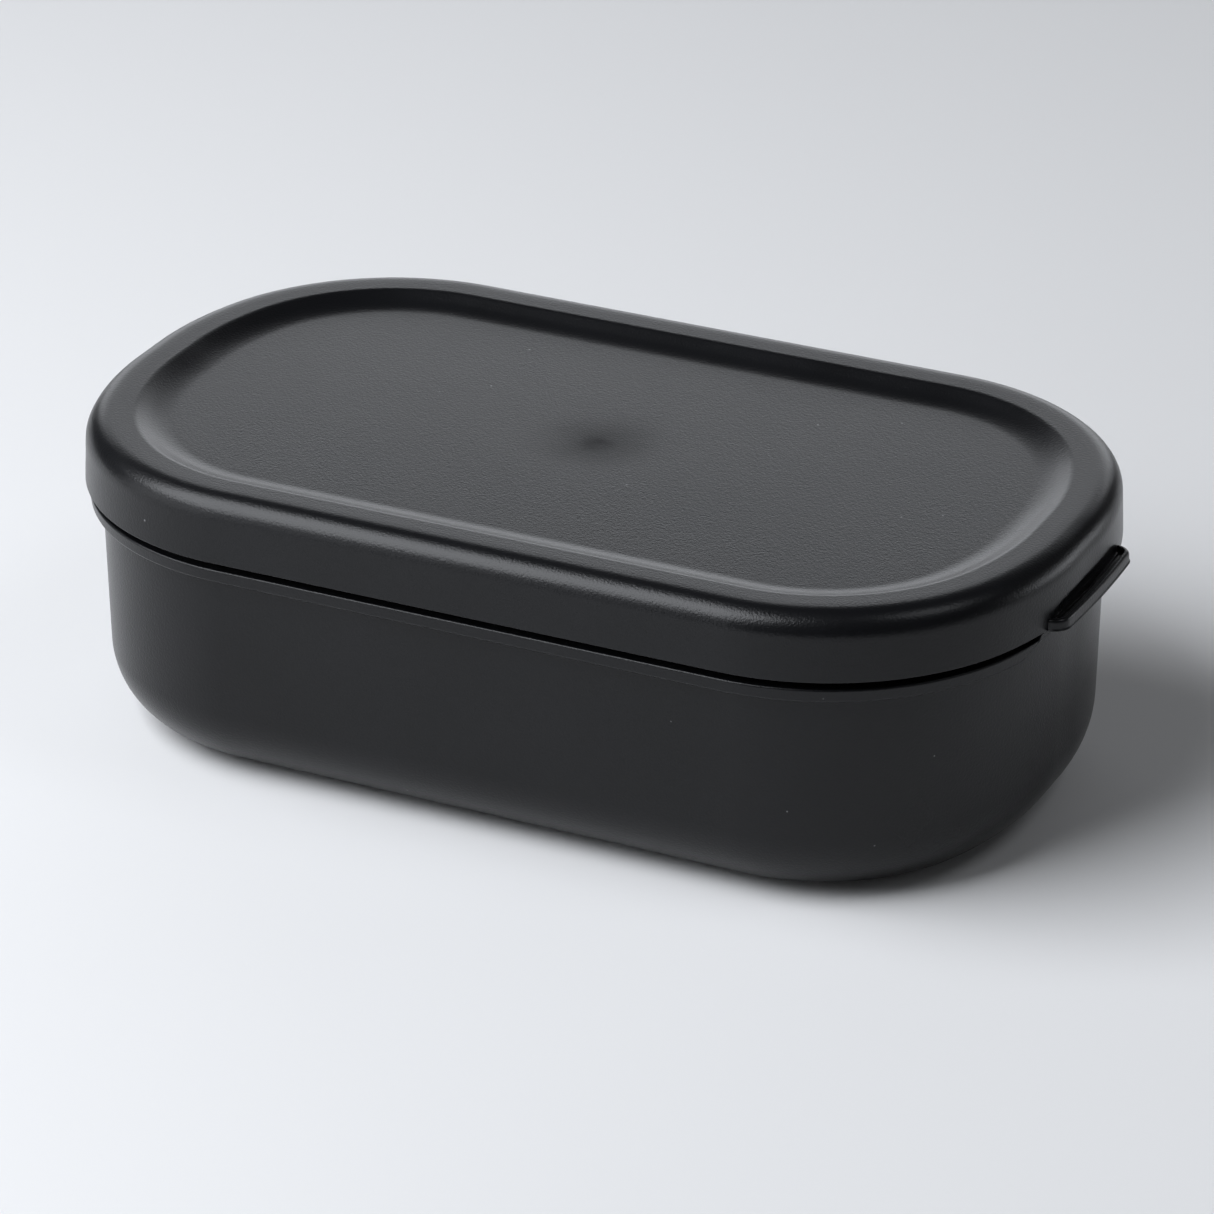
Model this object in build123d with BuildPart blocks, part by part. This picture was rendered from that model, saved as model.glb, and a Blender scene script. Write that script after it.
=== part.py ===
from build123d import *

import os
from math import atan2, degrees, radians, sqrt, tan

# A moulded plastic lunch box: a deep container and a snap-on lid with a thumb tab.
# Millimetres, +Z up. The origin is the centre of the container's flat base, +X runs along
# the box towards the tab, and z = 0 is the surface that the box stands on.

# Plan outline at the lid's bottom edge, the widest line of the box
length = 185.0
width = 108.7
corner_radius = 43.7
end_radius = 63.8
end_flat = 7.2

# Heights above the table
lid_bottom = 44.7
lid_top = 56.5
flange_top = lid_bottom - 1.55
flange_bottom = flange_top - 2.55
rim_top = 54.35

# Container
wall = 1.8
floor_thickness = 2.0
wall_inset = 3.0
wall_draft = 1.1
body_corner_trim = 1.45
bottom_radius = 14.0
flange_inset = 0.65
ledge_thickness = 1.35
lip_thickness = 1.15
rim_round = 0.7
flange_round = 0.25
neck_bead_reach = 0.4
neck_bead_height = 1.6
neck_bead_bottom = 47.2
bead_round = 0.3

# Lid
plate = 1.8
skirt = 1.9
skirt_draft = 2.6
top_round = 4.1
dish_depth = 2.0
dish_foot_inset = 13.2
dish_slope = 60.0
crest_round = 2.5
foot_round = 11.0
plug_inset = 5.4
plug_wall = 1.4
plug_bottom = 50.6
skirt_bead_reach = 0.35
skirt_bead_height = 1.2
skirt_bead_bottom = lid_bottom + 0.5

# Thumb tab on the lid, and the pad under it on the container
tab_overhang = 2.2
tab_edge_radius = 230.0
tab_root = 87.0
tab_length = 33.2
tab_corner = 3.2
tab_floor = 1.2
tab_height = 2.0
tab_lip = 1.1
scoop_radius = 3.0
scoop_face = 91.5
scoop_length = 31.0
pad_length = 34.6
pad_inset = 0.9
pad_top = lid_bottom - 0.35
recess_top = lid_bottom - 1.9
recess_width = 65.6
recess_height = 44.0
recess_round = 20.0


def inset_at(height, inset_at_seam, draft):
    """Inset of a drafted wall at a height, from its inset level with the lid's bottom edge."""
    return inset_at_seam + (lid_bottom - height) * tan(radians(draft))


def outline(inset, corner=corner_radius):
    """The box's plan outline, moved inwards by inset: straight sides, wide corner arcs
    and ends that are flat in the middle and bowed beside it."""
    half_x = length / 2 - inset
    half_y = width / 2 - inset
    corner_arc = corner - inset
    end_arc = end_radius - inset
    end_y = end_flat / 2
    end_x = half_x - end_arc
    corner_y = half_y - corner_arc
    corner_x = end_x + sqrt((end_arc - corner_arc) ** 2 - (corner_y - end_y) ** 2)
    turn = degrees(atan2(corner_y - end_y, corner_x - end_x))
    with BuildSketch() as plan:
        with BuildLine():
            Line((half_x, 0), (half_x, end_y))
            CenterArc((end_x, end_y), end_arc, 0, turn)
            CenterArc((corner_x, corner_y), corner_arc, turn, 90 - turn)
            Line((corner_x, half_y), (0, half_y))
            mirror(about=Plane.XZ)
            mirror(about=Plane.YZ)
        make_face()
    return plan.sketch


def tab_plan(inset):
    """The tab's plan, moved inwards by inset, with a slightly bowed free edge."""
    with BuildSketch() as plan:
        with Locations((length / 2 + tab_overhang - tab_edge_radius, 0)):
            Circle(tab_edge_radius - inset)
        with Locations((length, 0)):
            Rectangle(2 * (length - tab_root), tab_length - 2 * inset, mode=Mode.INTERSECT)
        ends = plan.vertices().group_by(Axis.Y)
        fillet([end.sort_by(Axis.X)[-1] for end in (ends[0], ends[-1])], tab_corner - inset)
    return plan.sketch


# The space inside the container, rounded along the floor
with BuildPart() as cavity:
    with BuildSketch(Plane.XY.offset(floor_thickness)):
        add(outline(inset_at(floor_thickness, wall_inset + wall, wall_draft)))
    extrude(amount=lid_top - floor_thickness, taper=-wall_draft)
    fillet(cavity.faces().sort_by(Axis.Z)[0].edges(), bottom_radius - wall)

# Flange under the lid's skirt, turned down at its outer edge
with BuildPart() as flange:
    with BuildSketch(Plane.XY.offset(flange_bottom)):
        add(outline(flange_inset))
    extrude(amount=flange_top - flange_bottom)
    outer_edges = [edge for face in flange.faces().filter_by(Axis.Z) for edge in face.edges()]
    fillet(outer_edges, flange_round)
    with BuildSketch(Plane.XY.offset(flange_bottom)):
        add(outline(flange_inset + lip_thickness))
    extrude(amount=flange_top - ledge_thickness - flange_bottom, mode=Mode.SUBTRACT)
    # Pad under the lid's tab, which closes the gap between flange and skirt there
    with BuildSketch(Plane.XY.offset(flange_top - flange_round)):
        add(outline(pad_inset))
        with Locations((length / 2, 0)):
            Rectangle(4 * wall_inset, pad_length, mode=Mode.INTERSECT)
    extrude(amount=pad_top - flange_top + flange_round)
    # Finger recess that arches up under the pad
    with BuildSketch(Plane.YZ.offset(length / 2 - wall_inset - wall)):
        with Locations((0, recess_top - recess_height / 2)):
            RectangleRounded(recess_width, recess_height, recess_round)
    extrude(amount=4 * wall_inset, mode=Mode.SUBTRACT)

# Rounded snap bead round the neck
with BuildPart() as neck_bead:
    with BuildSketch(Plane.XY.offset(neck_bead_bottom)):
        add(outline(inset_at(neck_bead_bottom, wall_inset, wall_draft) - neck_bead_reach))
    extrude(amount=neck_bead_height)
    fillet(neck_bead.edges(), bead_round)

with BuildPart() as container:
    # Drafted body with its large bottom radius
    with BuildSketch():
        add(outline(inset_at(0, wall_inset, wall_draft), corner_radius - body_corner_trim))
    extrude(amount=flange_top, taper=-wall_draft)
    fillet(container.faces().sort_by(Axis.Z)[0].edges(), bottom_radius)
    # Neck that the lid goes over
    with BuildSketch(Plane.XY.offset(flange_bottom)):
        add(outline(inset_at(flange_bottom, wall_inset, wall_draft)))
    extrude(amount=rim_top - flange_bottom, taper=-wall_draft)
    add(flange.part)
    add(neck_bead.part)
    add(cavity.part, mode=Mode.SUBTRACT)
    fillet(container.faces().filter_by(Axis.Z).sort_by(Axis.Z)[-1].edges(), rim_round)

# The dish pressed into the lid's top, as the volume it removes
with BuildPart() as dish:
    with BuildSketch(Plane.XY.offset(lid_top - dish_depth)):
        add(outline(dish_foot_inset))
    extrude(amount=dish_depth + 1.0, taper=-dish_slope)

# The space under the lid, from the skirt's open bottom up to the plate
with BuildPart() as lid_space:
    with BuildSketch(Plane.XY.offset(lid_bottom)):
        add(outline(skirt))
    extrude(amount=lid_top - plate - lid_bottom, taper=skirt_draft)
    fillet(lid_space.faces().sort_by(Axis.Z)[-1].edges(), top_round - skirt)
    with BuildSketch(Plane.XY.offset(lid_top - dish_depth - plate)):
        add(outline(dish_foot_inset - plate * tan(radians((90 - dish_slope) / 2))))
    extrude(amount=dish_depth, taper=-dish_slope, mode=Mode.SUBTRACT)

# Thumb tab: a thin plate at the skirt's bottom edge with an upturned lip round its free edge
with BuildPart() as tab:
    with BuildSketch(Plane.XY.offset(lid_bottom)):
        add(tab_plan(0))
    extrude(amount=tab_height)
    with BuildSketch(Plane.XY.offset(lid_bottom + tab_floor)):
        add(tab_plan(tab_lip))
    extrude(amount=tab_height, mode=Mode.SUBTRACT)
    with BuildSketch(Plane.XY.offset(lid_bottom)):
        add(outline(skirt / 2))
    extrude(amount=tab_height, mode=Mode.SUBTRACT)

# Shallow scoop in the skirt over the tab, which gives the thumb a flat wall
with BuildPart() as scoop:
    with BuildSketch(Plane.XZ):
        with Locations((scoop_face + scoop_radius, lid_bottom + tab_height)):
            Circle(scoop_radius)
        with Locations((scoop_face + scoop_radius, lid_bottom)):
            Rectangle(2 * scoop_radius, 2 * tab_floor, mode=Mode.SUBTRACT)
    extrude(amount=scoop_length / 2, both=True)

# Rounded snap bead along the inside of the skirt
with BuildPart() as skirt_bead:
    with BuildSketch(Plane.XY.offset(skirt_bead_bottom)):
        add(outline(skirt / 2))
        add(outline(skirt + skirt_bead_reach), mode=Mode.SUBTRACT)
    extrude(amount=skirt_bead_height)
    bead_faces = skirt_bead.faces().filter_by(Axis.Z)
    fillet([edge for face in bead_faces for edge in face.inner_wires()[0].edges()], bead_round)

with BuildPart() as lid:
    with BuildSketch(Plane.XY.offset(lid_bottom)):
        add(outline(0))
    extrude(amount=lid_top - lid_bottom, taper=skirt_draft)
    # Dish with soft crest and foot, then the rounded outer edge
    add(dish.part, mode=Mode.SUBTRACT)
    dish_floor = lid.faces().filter_by(Axis.Z).sort_by(Axis.Z)[-2]
    fillet(dish_floor.edges(), foot_round)
    rim_face = lid.faces().filter_by(Axis.Z).sort_by(Axis.Z)[-1]
    fillet(rim_face.inner_wires()[0].edges(), crest_round)
    rim_face = lid.faces().filter_by(Axis.Z).sort_by(Axis.Z)[-1]
    fillet(rim_face.outer_wire().edges(), top_round)
    add(scoop.part, mode=Mode.SUBTRACT)
    add(lid_space.part, mode=Mode.SUBTRACT)
    # Plug wall that goes inside the container's rim
    with BuildSketch(Plane.XY.offset(plug_bottom)):
        add(outline(plug_inset))
        add(outline(plug_inset + plug_wall), mode=Mode.SUBTRACT)
    extrude(amount=lid_top - plate / 2 - plug_bottom)
    add(skirt_bead.part)
    add(tab.part)

container.part.label = "container"
lid.part.label = "lid"

os.makedirs("parts", exist_ok=True)
export_step(container.part, "parts/container.step")
export_step(lid.part, "parts/lid.step")
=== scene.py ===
import math

import bpy
import numpy as np
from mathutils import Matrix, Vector


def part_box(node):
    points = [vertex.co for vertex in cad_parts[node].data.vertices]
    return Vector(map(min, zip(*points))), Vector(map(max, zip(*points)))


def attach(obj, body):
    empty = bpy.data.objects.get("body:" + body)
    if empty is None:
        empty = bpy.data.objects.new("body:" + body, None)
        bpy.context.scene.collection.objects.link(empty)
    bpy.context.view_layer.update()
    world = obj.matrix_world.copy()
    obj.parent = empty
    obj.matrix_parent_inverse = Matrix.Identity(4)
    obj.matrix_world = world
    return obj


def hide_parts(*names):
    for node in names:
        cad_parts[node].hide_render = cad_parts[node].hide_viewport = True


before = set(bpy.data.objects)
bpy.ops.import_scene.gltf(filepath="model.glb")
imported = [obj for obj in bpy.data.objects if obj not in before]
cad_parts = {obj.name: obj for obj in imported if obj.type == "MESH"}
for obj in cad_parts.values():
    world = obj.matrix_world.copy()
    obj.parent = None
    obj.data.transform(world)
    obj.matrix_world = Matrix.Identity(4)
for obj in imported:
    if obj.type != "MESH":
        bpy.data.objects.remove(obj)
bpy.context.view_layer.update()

# The box is modelled in millimetres, like the design it stands for, and put down in metres.
MM = 0.001
# Too small to see, but it keeps two corners of a profile apart
HAIR = 0.02
lid_low, lid_high = (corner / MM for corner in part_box("lid"))
_, tub_high = (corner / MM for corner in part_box("container"))

# Plan outline at the lid's bottom edge, the widest line of the box
LENGTH = -2 * lid_low.x
WIDTH = lid_high.y - lid_low.y
CORNER_RADIUS = 43.7
END_RADIUS = 63.8
END_FLAT = 7.2

# Heights above the table
LID_BOTTOM = lid_low.z
LID_TOP = lid_high.z
RIM_TOP = tub_high.z
FLANGE_TOP = LID_BOTTOM - 1.55
FLANGE_BOTTOM = FLANGE_TOP - 2.55

# Container
WALL = 1.8
FLOOR = 2.0
WALL_INSET = 3.0
WALL_DRAFT = math.radians(1.1)
CORNER_TRIM = 1.45
BOTTOM_RADIUS = 14.0
FLANGE_INSET = 0.65
FLANGE_DRAFT = 0.25
LEDGE = 1.35
LIP = 1.15
NECK_BEAD = 0.4
NECK_BEAD_BOTTOM = 47.2
NECK_BEAD_HEIGHT = 1.6
PAD_END = 17.3
PAD_FADE = 0.2
PAD_BACK = WALL_INSET - 0.8
PAD_TOP = LID_BOTTOM - 0.35
RECESS_TOP = LID_BOTTOM - 1.9
RECESS_FLAT = 12.8
RECESS_RADIUS = 20.0
RECESS_SOFTNESS = 0.25

# Lid
PLATE = 1.8
SKIRT = 1.9
SKIRT_DRAFT = math.radians(2.6)
TOP_ROUND = 4.5
BORDER_CREST_INSET = 5.9
BORDER_FALL = 0.06
BORDER_ROUND = 20.0
DISH_DEPTH = 2.0
DISH_CREST_INSET = 9.2
DISH_FOOT_INSET = 13.4
CREST_ROUND = 2.5
FOOT_ROUND = 11.0
FOOT_REACH = 3.2
DISH_HALF_SLOPE = math.radians(15)
PLUG_INSET = 5.4
PLUG_WALL = 1.4
PLUG_BOTTOM = 50.6
SKIRT_BEAD = 0.35
SKIRT_BEAD_RISES = (0.4, 0.8, 1.4, 2.1)
SINK_DEPTH = 0.06
SINK_RADIUS = 10.0
GATE_RADIUS = 1.2
GATE_DEPTH = 0.04

# Thumb tab
TAB_OVERHANG = lid_high.x - LENGTH / 2
TAB_HALF = 16.6
TAB_EDGE_RADIUS = 230.0
TAB_CORNER = 3.2
TAB_FLOOR = 1.2
TAB_HEIGHT = 2.0
TAB_LIP = 1.2
TAB_STEP = 2.1
TAB_STEP_HEIGHT = 0.35
TAB_SHELF = 0.5
TAB_FIN = 0.2
TAB_ROOT_INSET = 1.5
SCOOP_RADIUS = 3.0
SCOOP_FACE = 91.5
SCOOP_SOFTNESS = 0.35
# Distances from the middle of the tab at which the scoop starts to fade and is gone
SCOOP_END = (13.9, 16.7)
NO_CUT = 10.0


# ---- Outlines and profiles ----

SHARP_ANGLE = math.radians(35)


def outline(inset, trim=0.0):
    """Points round the plan outline moved inwards by inset, anticlockwise from +X. trim makes
    its corner arcs smaller. Both may differ from point to point."""
    flat = np.linspace(0, 1, 5)[:-1]
    end = np.linspace(0, 1, 33)[:-1]
    corner = np.linspace(0, 1, 49)[:-1]
    side = np.linspace(0, 1, 13)[:-1]
    quarter = len(flat) + len(end) + len(corner) + len(side)
    count = 4 * quarter
    inset = np.broadcast_to(np.asarray(inset, float), (count,))

    # Each point's stretch and fraction along it; quarters alternate in direction
    stretch = np.repeat([0, 1, 2, 3], [len(flat), len(end), len(corner), len(side)])
    share = np.concatenate([flat, end, corner, side])
    back_stretch = np.concatenate([[3], stretch[::-1]])[:quarter]
    back_share = np.concatenate([[1.0], share[::-1]])[:quarter]
    stretch = np.tile(np.concatenate([stretch, back_stretch]), 2)
    share = np.tile(np.concatenate([share, back_share]), 2)
    sign_x = np.repeat([1, -1, -1, 1], quarter)
    sign_y = np.repeat([1, 1, -1, -1], quarter)

    half_x = LENGTH / 2 - inset
    half_y = WIDTH / 2 - inset
    corner_arc = CORNER_RADIUS - trim - inset
    end_arc = END_RADIUS - inset
    end_y = END_FLAT / 2
    end_x = half_x - end_arc
    corner_y = half_y - corner_arc
    corner_x = end_x + np.sqrt((end_arc - corner_arc) ** 2 - (corner_y - end_y) ** 2)
    turn = np.arctan2(corner_y - end_y, corner_x - end_x)
    end_angle = share * turn
    corner_angle = turn + share * (np.pi / 2 - turn)
    x = np.choose(stretch, [half_x, end_x + end_arc * np.cos(end_angle),
                            corner_x + corner_arc * np.cos(corner_angle), corner_x * (1 - share)])
    y = np.choose(stretch, [share * end_y, end_y + end_arc * np.sin(end_angle),
                            corner_y + corner_arc * np.sin(corner_angle), half_y])
    return np.stack([sign_x * x, sign_y * y], axis=-1)


def rounded(corners, steps=6):
    """Points along a profile of (inset, height, radius) corners, with each corner rounded.
    Insets and heights may be arrays, one value for each point of the outline."""
    shape = np.broadcast_shapes(*(np.shape(value) for corner in corners for value in corner))
    corners = [[np.broadcast_to(np.asarray(value, float), shape) for value in corner]
               for corner in corners]
    points = [np.stack(corner[:2], axis=-1) for corner in corners]
    path = []
    for index, corner in enumerate(corners):
        radius = corner[2]
        if index in (0, len(corners) - 1) or not np.any(radius > 0):
            path.append(points[index])
            continue
        to_before = points[index - 1] - points[index]
        to_after = points[index + 1] - points[index]
        to_before = to_before / np.linalg.norm(to_before, axis=-1, keepdims=True)
        to_after = to_after / np.linalg.norm(to_after, axis=-1, keepdims=True)
        between = np.arccos(np.clip(np.sum(to_before * to_after, axis=-1), -1, 1))
        turn = np.maximum(np.pi - between, 1e-4)
        middle = to_before + to_after
        middle = middle / np.maximum(np.linalg.norm(middle, axis=-1, keepdims=True), 1e-9)
        centre = points[index] + middle * (radius / np.sin(between / 2))[..., None]
        start = points[index] + to_before * (radius / np.tan(between / 2))[..., None] - centre
        stop = points[index] + to_after * (radius / np.tan(between / 2))[..., None] - centre
        for share in np.linspace(0, 1, steps + 1):
            weight_start = (np.sin((1 - share) * turn) / np.sin(turn))[..., None]
            weight_stop = (np.sin(share * turn) / np.sin(turn))[..., None]
            path.append(centre + start * weight_start + stop * weight_stop)
    return path


def subdivided(path, longest):
    """The same profile with its long straight runs cut into shorter ones."""
    fine = [path[0]]
    for before, after in zip(path, path[1:]):
        pieces = int(np.ceil(np.max(np.linalg.norm(after - before, axis=-1)) / longest))
        for piece in range(1, max(pieces, 1) + 1):
            fine.append(before + (after - before) * piece / max(pieces, 1))
    return fine


def swept_rings(path, trims):
    """One ring of (x, y, z) points for each profile point, all round the outline."""
    rings = []
    for point, trim in zip(path, trims):
        plan = outline(point[..., 0], trim)
        height = np.broadcast_to(point[..., 1], (len(plan),))
        rings.append(np.column_stack([plan, height]))
    return rings


def disc_rings(ring, shares):
    """Rings inside a flat ring, each a smaller copy of it, towards the centre."""
    height = ring[:, 2:]
    return [np.hstack([ring[:, :2] * share, height]) for share in shares]


def solid_from_rings(name, rings):
    """A closed mesh skin over rings, with a point at the centre of the first and of the last."""
    count = len(rings[0])
    points = np.vstack([rings[0].mean(axis=0, keepdims=True), *rings,
                        rings[-1].mean(axis=0, keepdims=True)])
    turned = (np.arange(count) + 1) % count
    faces = [(0, 1 + b, 1 + a) for a, b in enumerate(turned)]
    for level in range(len(rings) - 1):
        low, high = 1 + level * count, 1 + (level + 1) * count
        faces += [(low + a, low + b, high + b, high + a) for a, b in enumerate(turned)]
    last = 1 + (len(rings) - 1) * count
    faces += [(last + a, last + b, len(points) - 1) for a, b in enumerate(turned)]
    mesh = bpy.data.meshes.new(name)
    mesh.from_pydata((points * MM).tolist(), [], faces)
    mesh.polygons.foreach_set("use_smooth", [True] * len(mesh.polygons))
    mesh.update()
    mesh.set_sharp_from_angle(angle=SHARP_ANGLE)
    piece = bpy.data.objects.new(name, mesh)
    bpy.context.scene.collection.objects.link(piece)
    normals = piece.modifiers.new("weighted_normals", "WEIGHTED_NORMAL")
    normals.keep_sharp = True
    return piece


def smooth_step(value, start, stop):
    share = np.clip((value - start) / (stop - start), 0, 1)
    return share * share * (3 - 2 * share)


def soft_min(a, b, softness):
    """The smaller of a and b, with a smooth passage between them."""
    share = np.clip(0.5 + (b - a) / (2 * softness), 0, 1)
    return b + (a - b) * share - softness * share * (1 - share)


# ---- Container ----

def wall_inset(height):
    """Inset of the container's drafted outer wall at a height."""
    return WALL_INSET + (LID_BOTTOM - height) * math.tan(WALL_DRAFT)


def build_container():
    plan = outline(FLANGE_INSET)
    at_tab = plan[:, 0] > 0
    beside = np.abs(plan[:, 1])

    # Underside of the flange: level all round, arched up over the finger recess
    reach = np.clip(beside - RECESS_FLAT, 0, RECESS_RADIUS)
    arch = RECESS_TOP - (RECESS_RADIUS - np.sqrt(RECESS_RADIUS ** 2 - reach ** 2))
    arch = np.where(at_tab, arch, 0.0)
    lip_bottom = -soft_min(-np.full(len(plan), FLANGE_BOTTOM), -arch, RECESS_SOFTNESS)
    ledge_bottom = np.maximum(lip_bottom + HAIR, FLANGE_TOP - LEDGE)

    # Pad that closes the gap between flange and lid over the recess
    pad = np.where(at_tab, 1 - smooth_step(beside, PAD_END - PAD_FADE, PAD_END + PAD_FADE), 0.0)
    outer_top = FLANGE_TOP + pad * (PAD_TOP - FLANGE_TOP)

    wall_top = wall_inset(FLANGE_TOP - LEDGE)
    neck_foot = wall_inset(NECK_BEAD_BOTTOM)
    bead_top = NECK_BEAD_BOTTOM + NECK_BEAD_HEIGHT
    body = rounded([
        (wall_inset(0) + BOTTOM_RADIUS + 1, 0.0, 0),
        (wall_inset(0), 0.0, BOTTOM_RADIUS),
        (wall_top, ledge_bottom, 0),
    ], steps=20)[1:]
    rim = rounded([
        (wall_top, ledge_bottom, 0),
        (FLANGE_INSET + LIP, ledge_bottom, 0.1),
        (FLANGE_INSET + LIP, lip_bottom, 0.1),
        (FLANGE_INSET + FLANGE_DRAFT, lip_bottom, 0.6),
        (FLANGE_INSET, outer_top, 0.42),
        (PAD_BACK, outer_top, 0.1),
        (PAD_BACK + 0.1, FLANGE_TOP - HAIR, 0.1),
        (wall_inset(FLANGE_TOP), FLANGE_TOP - HAIR, 0.2),
        (neck_foot, NECK_BEAD_BOTTOM, 0.2),
        (neck_foot - NECK_BEAD, NECK_BEAD_BOTTOM + 0.3, 0.3),
        (neck_foot - NECK_BEAD, bead_top - 0.3, 0.3),
        (neck_foot, bead_top, 0.2),
        (wall_inset(RIM_TOP), RIM_TOP, 0.7),
        (wall_inset(RIM_TOP) + WALL, RIM_TOP, 0.7),
        (wall_inset(FLOOR) + WALL, FLOOR, BOTTOM_RADIUS - WALL),
        (wall_inset(0) + BOTTOM_RADIUS + 1, FLOOR, 0),
    ], steps=6)[1:]
    body, rim = subdivided(body, 4.0), subdivided(rim, 4.0)
    path = [np.broadcast_to(point, (len(plan), 2)) for point in body + rim]
    trims = [CORNER_TRIM] * len(body) + [0.0] * len(rim)
    rings = swept_rings(path, trims)
    shares = np.linspace(1, 0, 13)[1:-1]
    rings = disc_rings(rings[0], shares[::-1]) + rings + disc_rings(rings[-1], shares)
    return solid_from_rings("container_tub", rings)


# ---- Lid ----

def skirt_inset(height):
    """Inset of the lid's drafted outer skirt at a height."""
    return (height - LID_BOTTOM) * math.tan(SKIRT_DRAFT)


def scooped(ring):
    """A ring of the outer skirt, cut back to the flat wall and hollow over the thumb tab."""
    x, y, z = ring.T
    rise = z - (LID_BOTTOM + TAB_HEIGHT)
    hollow = SCOOP_RADIUS - np.sqrt(np.clip(SCOOP_RADIUS ** 2 - rise ** 2, 0, None))
    hollow = np.where(np.abs(rise) < SCOOP_RADIUS, hollow, NO_CUT)
    end = NO_CUT * smooth_step(np.abs(y), *SCOOP_END)
    limit = SCOOP_FACE + hollow + end
    above_floor = z > LID_BOTTOM + TAB_FLOOR - 0.05
    cut = np.where((x > 0) & above_floor, soft_min(x, limit, SCOOP_SOFTNESS), x)
    return np.column_stack([cut, y, z])


def build_lid():
    inner_top = LID_TOP - PLATE
    floor_top = LID_TOP - DISH_DEPTH
    floor_inset = DISH_FOOT_INSET + FOOT_REACH
    # The underside's slope lies further out, so that the plate keeps its thickness there
    shift = PLATE * math.tan(DISH_HALF_SLOPE)
    bead_foot, bead_low, bead_high, bead_top = (LID_BOTTOM + rise for rise in SKIRT_BEAD_RISES)
    outside = rounded([
        (SKIRT, LID_BOTTOM, 0),
        (0.0, LID_BOTTOM, 0.18),
        (skirt_inset(LID_TOP), LID_TOP, TOP_ROUND),
        (BORDER_CREST_INSET, LID_TOP, BORDER_ROUND),
        (DISH_CREST_INSET, LID_TOP - BORDER_FALL, CREST_ROUND),
        (DISH_FOOT_INSET, floor_top, FOOT_ROUND),
        (floor_inset, floor_top, 0),
    ], steps=16)
    outside = subdivided(outside, 0.45)
    inside = rounded([
        (floor_inset, floor_top - PLATE, 0),
        (DISH_FOOT_INSET - shift, floor_top - PLATE, CREST_ROUND),
        (DISH_CREST_INSET - shift, inner_top, CREST_ROUND),
        (PLUG_INSET + PLUG_WALL, inner_top, 0.15),
        (PLUG_INSET + PLUG_WALL, PLUG_BOTTOM, 0.4),
        (PLUG_INSET, PLUG_BOTTOM, 0.4),
        (PLUG_INSET, inner_top, 0.4),
        (SKIRT + skirt_inset(inner_top), inner_top, TOP_ROUND - SKIRT),
        (SKIRT + skirt_inset(bead_top), bead_top, 0.2),
        (SKIRT + SKIRT_BEAD, bead_high, 0.25),
        (SKIRT + SKIRT_BEAD, bead_low, 0.25),
        (SKIRT, bead_foot, 0.15),
        (SKIRT, LID_BOTTOM, 0),
    ], steps=4)
    rings_out = swept_rings(outside, [0.0] * len(outside))
    rings_out = [scooped(ring) for ring in rings_out]
    rings_in = swept_rings(inside, [0.0] * len(inside))

    # The dish floor, with a broad shallow sink and the gate's small pit in its middle
    shares = np.concatenate([np.linspace(1, 0.25, 20)[1:], np.linspace(0.25, 0, 30)[1:-1]])
    dish = disc_rings(rings_out[-1], shares)
    # Its rings turn from the outline's shape into circles towards the middle
    rounder = []
    for ring, share in zip(dish, shares):
        radius = np.linalg.norm(ring[:, :2], axis=1)
        circle = ring[:, :2] / radius[:, None] * share * LENGTH / 3
        blend = smooth_step(share, 0.5, 0.12)
        plan = ring[:, :2] * (1 - blend) + circle * blend
        middle = np.linalg.norm(plan, axis=1)
        sink = SINK_DEPTH * np.exp(-(middle / SINK_RADIUS) ** 2)
        pit = GATE_DEPTH * np.exp(-(middle / GATE_RADIUS) ** 4)
        rounder.append(np.column_stack([plan, ring[:, 2] - sink - pit]))
    underside = disc_rings(rings_in[0], np.linspace(1, 0, 9)[1:-1])
    rings = underside[::-1] + rings_in + rings_out[1:] + rounder
    return solid_from_rings("lid_shell", rings)


# ---- Thumb tab ----

def tab_ring(inset):
    """Points round the tab's plan moved inwards by inset, from its root round its free edge.
    The root stays where it is, inside the lid's skirt."""
    centre_x = LENGTH / 2 + TAB_OVERHANG - TAB_EDGE_RADIUS
    edge_radius = TAB_EDGE_RADIUS - inset
    corner = TAB_CORNER - inset
    corner_y = TAB_HALF - TAB_CORNER
    corner_x = centre_x + math.sqrt((TAB_EDGE_RADIUS - TAB_CORNER) ** 2 - corner_y ** 2)
    turn = math.atan2(corner_y, corner_x - centre_x)
    root_radius = END_RADIUS - TAB_ROOT_INSET
    half = TAB_HALF - inset

    def root_x(y):
        beyond = np.clip(np.abs(y) - END_FLAT / 2, 0, None)
        return LENGTH / 2 - END_RADIUS + np.sqrt(root_radius ** 2 - beyond ** 2)

    edge = np.linspace(0, turn, 25)
    side = [np.column_stack([centre_x + edge_radius * np.cos(edge), edge_radius * np.sin(edge)])]
    bend = np.linspace(turn, math.pi / 2, 17)[1:]
    side.append(np.column_stack([corner_x + corner * np.cos(bend),
                                 corner_y + corner * np.sin(bend)]))
    flank = np.linspace(corner_x, root_x(half), 5)[1:]
    side.append(np.column_stack([flank, np.full(4, half)]))
    across = np.linspace(half, 0, 26)[1:]
    side.append(np.column_stack([root_x(across), across]))
    right = np.vstack(side)
    left = right[1:-1][::-1] * (1, -1)
    return np.vstack([right, left])


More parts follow.
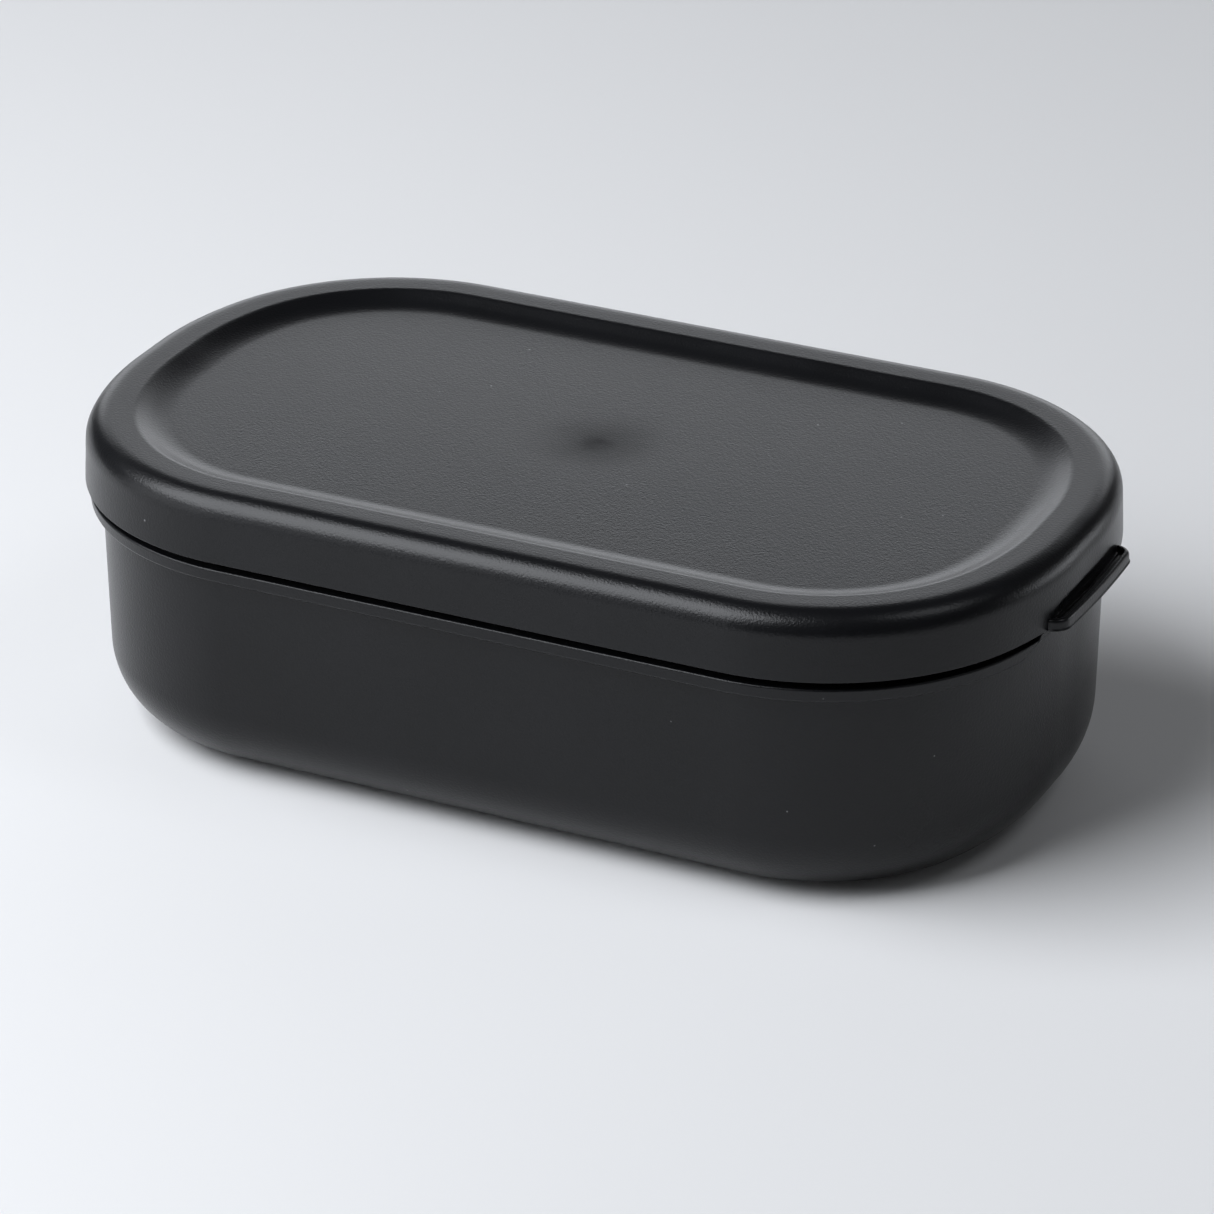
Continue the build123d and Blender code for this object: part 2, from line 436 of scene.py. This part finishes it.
def build_tab():
    """A thin plate with an upturned lip, a fine fin along its lower edge and a step in the
    trough behind the lip."""
    profile = rounded([
        (TAB_STEP + TAB_SHELF, 0.0, 0),
        (0.0, 0.0, 0.05),
        (0.0, TAB_FIN / 2, 0.05),
        (TAB_FIN, 0.32, 0.12),
        (TAB_FIN + 0.05, TAB_HEIGHT, 0.6),
        (TAB_LIP, TAB_HEIGHT, 0.3),
        (TAB_LIP + 0.05, TAB_FLOOR, 0.2),
        (TAB_STEP, TAB_FLOOR, 0.1),
        (TAB_STEP + 0.15, TAB_FLOOR + TAB_STEP_HEIGHT, 0.14),
        (TAB_STEP + TAB_SHELF, TAB_FLOOR + TAB_STEP_HEIGHT, 0),
    ], steps=6)
    profile = subdivided(profile, 0.4)
    rings = []
    for inset, height in profile:
        plan = tab_ring(inset)
        rings.append(np.column_stack([plan, np.full(len(plan), LID_BOTTOM + height)]))
    middle = np.array([LENGTH / 2, 0.0])

    def closing(ring):
        shares = np.linspace(1, 0, 6)[1:-1, None]
        return [np.column_stack([middle + (ring[:, :2] - middle) * share, ring[:, 2]])
                for share in shares]

    rings = closing(rings[0])[::-1] + rings + closing(rings[-1])
    return solid_from_rings("lid_tab", rings)


# ---- Materials ----

# Noise scales are per metre, depths and radii in millimetres, sizes of dust in cells
GRAIN_SCALE = 2300.0
GRAIN_DEPTH = 0.055
FLOW_SCALE = 38.0
ROUGHNESS = (0.27, 0.31)
REFRACTION = 1.37
DARK_TONE = (0.0032, 0.0034, 0.0041, 1)
LIGHT_TONE = (0.0050, 0.0053, 0.0064, 1)
BLUSH = 0.3
BLUSH_RADIUS = 15.0
BLUSH_CORE = 0.28
BLUSH_CORE_SHARE = 0.38
BLUSH_WANDER = 2.5
BLUSH_WANDER_SCALE = 160.0
DUST_SCALE = 150.0
DUST_CORE = 0.015
DUST_EDGE = 0.04
DUST_FREE_SHARE = 0.6
DUST_TONE = (0.16, 0.16, 0.165, 1)
FLOOR_TONE = (0.76, 0.76, 0.76, 1)


class Nodes:
    """Adds nodes to a material and joins them, with plain names."""

    def __init__(self, material):
        material.use_nodes = True
        self.tree = material.node_tree
        self.shader = self.tree.nodes["Principled BSDF"]

    def add(self, kind, **settings):
        node = self.tree.nodes.new(kind)
        for name, value in settings.items():
            if hasattr(node, name):
                setattr(node, name, value)
            else:
                node.inputs[name.replace("_", " ")].default_value = value
        return node

    def join(self, source, target):
        self.tree.links.new(source, target)


def moulded_plastic(name, seed, gate_blush=0.0):
    """Matte black polypropylene with a fine spark-eroded grain, faint flow marks and a few
    specks of dust. gate_blush is how much rougher it gets at the gate, on the frame's Z axis."""
    material = bpy.data.materials.new(name)
    nodes = Nodes(material)
    place = nodes.add("ShaderNodeTexCoord").outputs["Object"]

    def noise(scale, detail, roughness=0.5):
        node = nodes.add("ShaderNodeTexNoise", noise_dimensions="4D", Scale=scale, Detail=detail,
                         Roughness=roughness, W=seed)
        nodes.join(place, node.inputs["Vector"])
        return node.outputs["Fac"]

    def mapped(source, low, high, to_low, to_high, smooth=False):
        node = nodes.add("ShaderNodeMapRange")
        node.interpolation_type = "SMOOTHSTEP" if smooth else "LINEAR"
        ends = {"From Min": low, "From Max": high, "To Min": to_low, "To Max": to_high}
        for label, value in ends.items():
            node.inputs[label].default_value = value
        nodes.join(source, node.inputs["Value"])
        return node.outputs["Result"]

    def math_node(operation, first, second):
        node = nodes.add("ShaderNodeMath", operation=operation)
        for socket, value in zip(node.inputs, (first, second)):
            if isinstance(value, float):
                socket.default_value = value
            else:
                nodes.join(value, socket)
        return node.outputs["Value"]

    grain = noise(GRAIN_SCALE, 2.0, 0.6)
    flow = noise(FLOW_SCALE, 3.0)
    roughness = mapped(flow, 0.25, 0.75, *ROUGHNESS)
    if gate_blush:
        flat = nodes.add("ShaderNodeVectorMath", operation="MULTIPLY")
        flat.inputs[1].default_value = (1, 1, 0)
        nodes.join(place, flat.inputs[0])
        reach = nodes.add("ShaderNodeVectorMath", operation="LENGTH")
        nodes.join(flat.outputs["Vector"], reach.inputs[0])
        wander = BLUSH_WANDER * MM
        shift = mapped(noise(BLUSH_WANDER_SCALE, 2.0), 0.0, 1.0, -wander, wander)
        wavy = math_node("ADD", reach.outputs["Value"], shift)
        # A broad faint patch with a smaller, stronger one inside it
        for size, share in ((1.0, 1 - BLUSH_CORE_SHARE), (BLUSH_CORE, BLUSH_CORE_SHARE)):
            radius = BLUSH_RADIUS * size * MM
            blush = mapped(wavy, 0.0, radius, gate_blush * share, 0.0, smooth=True)
            roughness = math_node("ADD", roughness, blush)
    nodes.join(roughness, nodes.shader.inputs["Roughness"])

    tone = nodes.add("ShaderNodeValToRGB")
    tone.color_ramp.elements[0].color = DARK_TONE
    tone.color_ramp.elements[1].color = LIGHT_TONE
    nodes.join(mapped(flow, 0.3, 0.7, 0.0, 1.0), tone.inputs["Fac"])

    # Dust: a small pale dot in some of the cells of a coarse pattern
    cells = nodes.add("ShaderNodeTexVoronoi", Scale=DUST_SCALE)
    nodes.join(place, cells.inputs["Vector"])
    chance = nodes.add("ShaderNodeSeparateColor")
    nodes.join(cells.outputs["Color"], chance.inputs["Color"])
    near = mapped(cells.outputs["Distance"], DUST_CORE, DUST_EDGE, 1.0, 0.0, smooth=True)
    rare = math_node("GREATER_THAN", chance.outputs["Red"], DUST_FREE_SHARE)
    dusty = nodes.add("ShaderNodeMix", data_type="RGBA")
    nodes.join(math_node("MULTIPLY", near, rare), dusty.inputs["Factor"])
    nodes.join(tone.outputs["Color"], dusty.inputs["A"])
    dusty.inputs["B"].default_value = DUST_TONE
    nodes.join(dusty.outputs["Result"], nodes.shader.inputs["Base Color"])

    bump = nodes.add("ShaderNodeBump", Strength=1.0, Distance=GRAIN_DEPTH * MM)
    nodes.join(grain, bump.inputs["Height"])
    nodes.join(bump.outputs["Normal"], nodes.shader.inputs["Normal"])
    nodes.shader.inputs["IOR"].default_value = REFRACTION
    return material


def floor_material():
    material = bpy.data.materials.new("pale_floor")
    nodes = Nodes(material)
    nodes.shader.inputs["Base Color"].default_value = FLOOR_TONE
    nodes.shader.inputs["Roughness"].default_value = 0.8
    nodes.shader.inputs["Specular IOR Level"].default_value = 0.0
    return material


# ---- Studio ----

FOCAL_LENGTH = 165.6
SENSOR = 36.0
CAMERA_TARGET = Vector((0.00723, -0.01189, 0.02926))
CAMERA_AZIMUTH, CAMERA_ELEVATION = 25.62, 26.17
CAMERA_DISTANCE = 0.9769
LIGHT_TARGET = Vector((0, 0, 0.03))
LIGHT_COLOUR = (0.93, 0.955, 1.0)
SKY_STRENGTH = 0.04
FLOOR_HALF = 3.0

# Azimuth, elevation, distance and size in metres, and brightness of each soft light
SOFTBOXES = {
    "key_light": (-48, 49, 1.05, (1.0, 0.76), 6.9),
    "low_fill": (-50, 12, 1.6, (1.7, 0.6), 1.7),
    "back_light": (-157, 13, 2.2, (2.2, 1.0), 1.78),
    "back_right_light": (136, 6, 2.2, (1.2, 0.6), 2.6),
    "right_light": (96, 57, 1.7, (0.55, 0.6), 2.2),
}


def aim(thing, place, target):
    thing.location = place
    thing.rotation_euler = (Vector(target) - Vector(place)).to_track_quat("-Z", "Y").to_euler()


def direction(azimuth, elevation):
    """Unit vector from the object towards a place. Azimuth 0 is in front, 90 at the right."""
    a, e = math.radians(azimuth), math.radians(elevation)
    return Vector((math.sin(a) * math.cos(e), -math.cos(a) * math.cos(e), math.sin(e)))


def make_camera():
    data = bpy.data.cameras.new("camera")
    data.lens = FOCAL_LENGTH
    data.sensor_width = SENSOR
    data.clip_start, data.clip_end = 0.05, 50.0
    camera = bpy.data.objects.new("camera", data)
    bpy.context.scene.collection.objects.link(camera)
    back = direction(CAMERA_AZIMUTH, CAMERA_ELEVATION)
    camera.location = CAMERA_TARGET + back * CAMERA_DISTANCE
    camera.rotation_euler = back.to_track_quat("Z", "Y").to_euler()
    bpy.context.scene.camera = camera


def softbox(name, azimuth, elevation, distance, size, strength):
    """A soft light of that size, aimed at the object; strength is its brightness as a surface."""
    data = bpy.data.lights.new(name, "AREA")
    data.shape = "RECTANGLE"
    data.size, data.size_y = size
    data.energy = strength * math.pi * size[0] * size[1]
    data.color = LIGHT_COLOUR
    light = bpy.data.objects.new(name, data)
    bpy.context.scene.collection.objects.link(light)
    aim(light, LIGHT_TARGET + direction(azimuth, elevation) * distance, LIGHT_TARGET)


def make_studio():
    half = FLOOR_HALF
    mesh = bpy.data.meshes.new("floor")
    mesh.from_pydata([(-half, -half, 0), (half, -half, 0), (half, half, 0), (-half, half, 0)],
                     [], [(0, 1, 2, 3)])
    floor = bpy.data.objects.new("floor", mesh)
    bpy.context.scene.collection.objects.link(floor)
    floor.data.materials.append(floor_material())

    world = bpy.data.worlds.new("studio")
    bpy.context.scene.world = world
    world.use_nodes = True
    world.node_tree.nodes["Background"].inputs["Color"].default_value = (1, 1, 1, 1)
    world.node_tree.nodes["Background"].inputs["Strength"].default_value = SKY_STRENGTH
    for name, place in SOFTBOXES.items():
        softbox(name, *place)
    bpy.context.scene.view_settings.view_transform = "Standard"


make_camera()
make_studio()

container_plastic = moulded_plastic("container_plastic", 1.0)
lid_plastic = moulded_plastic("lid_plastic", 2.0, gate_blush=BLUSH)

tub = build_container()
shell = build_lid()
tab = build_tab()
for piece, body, node, material in (
    (tub, "container", "container", container_plastic),
    (shell, "lid", "lid", lid_plastic),
    (tab, "lid", "lid", lid_plastic),
):
    piece.data.materials.append(material)
    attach(piece, body)
    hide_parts(node)
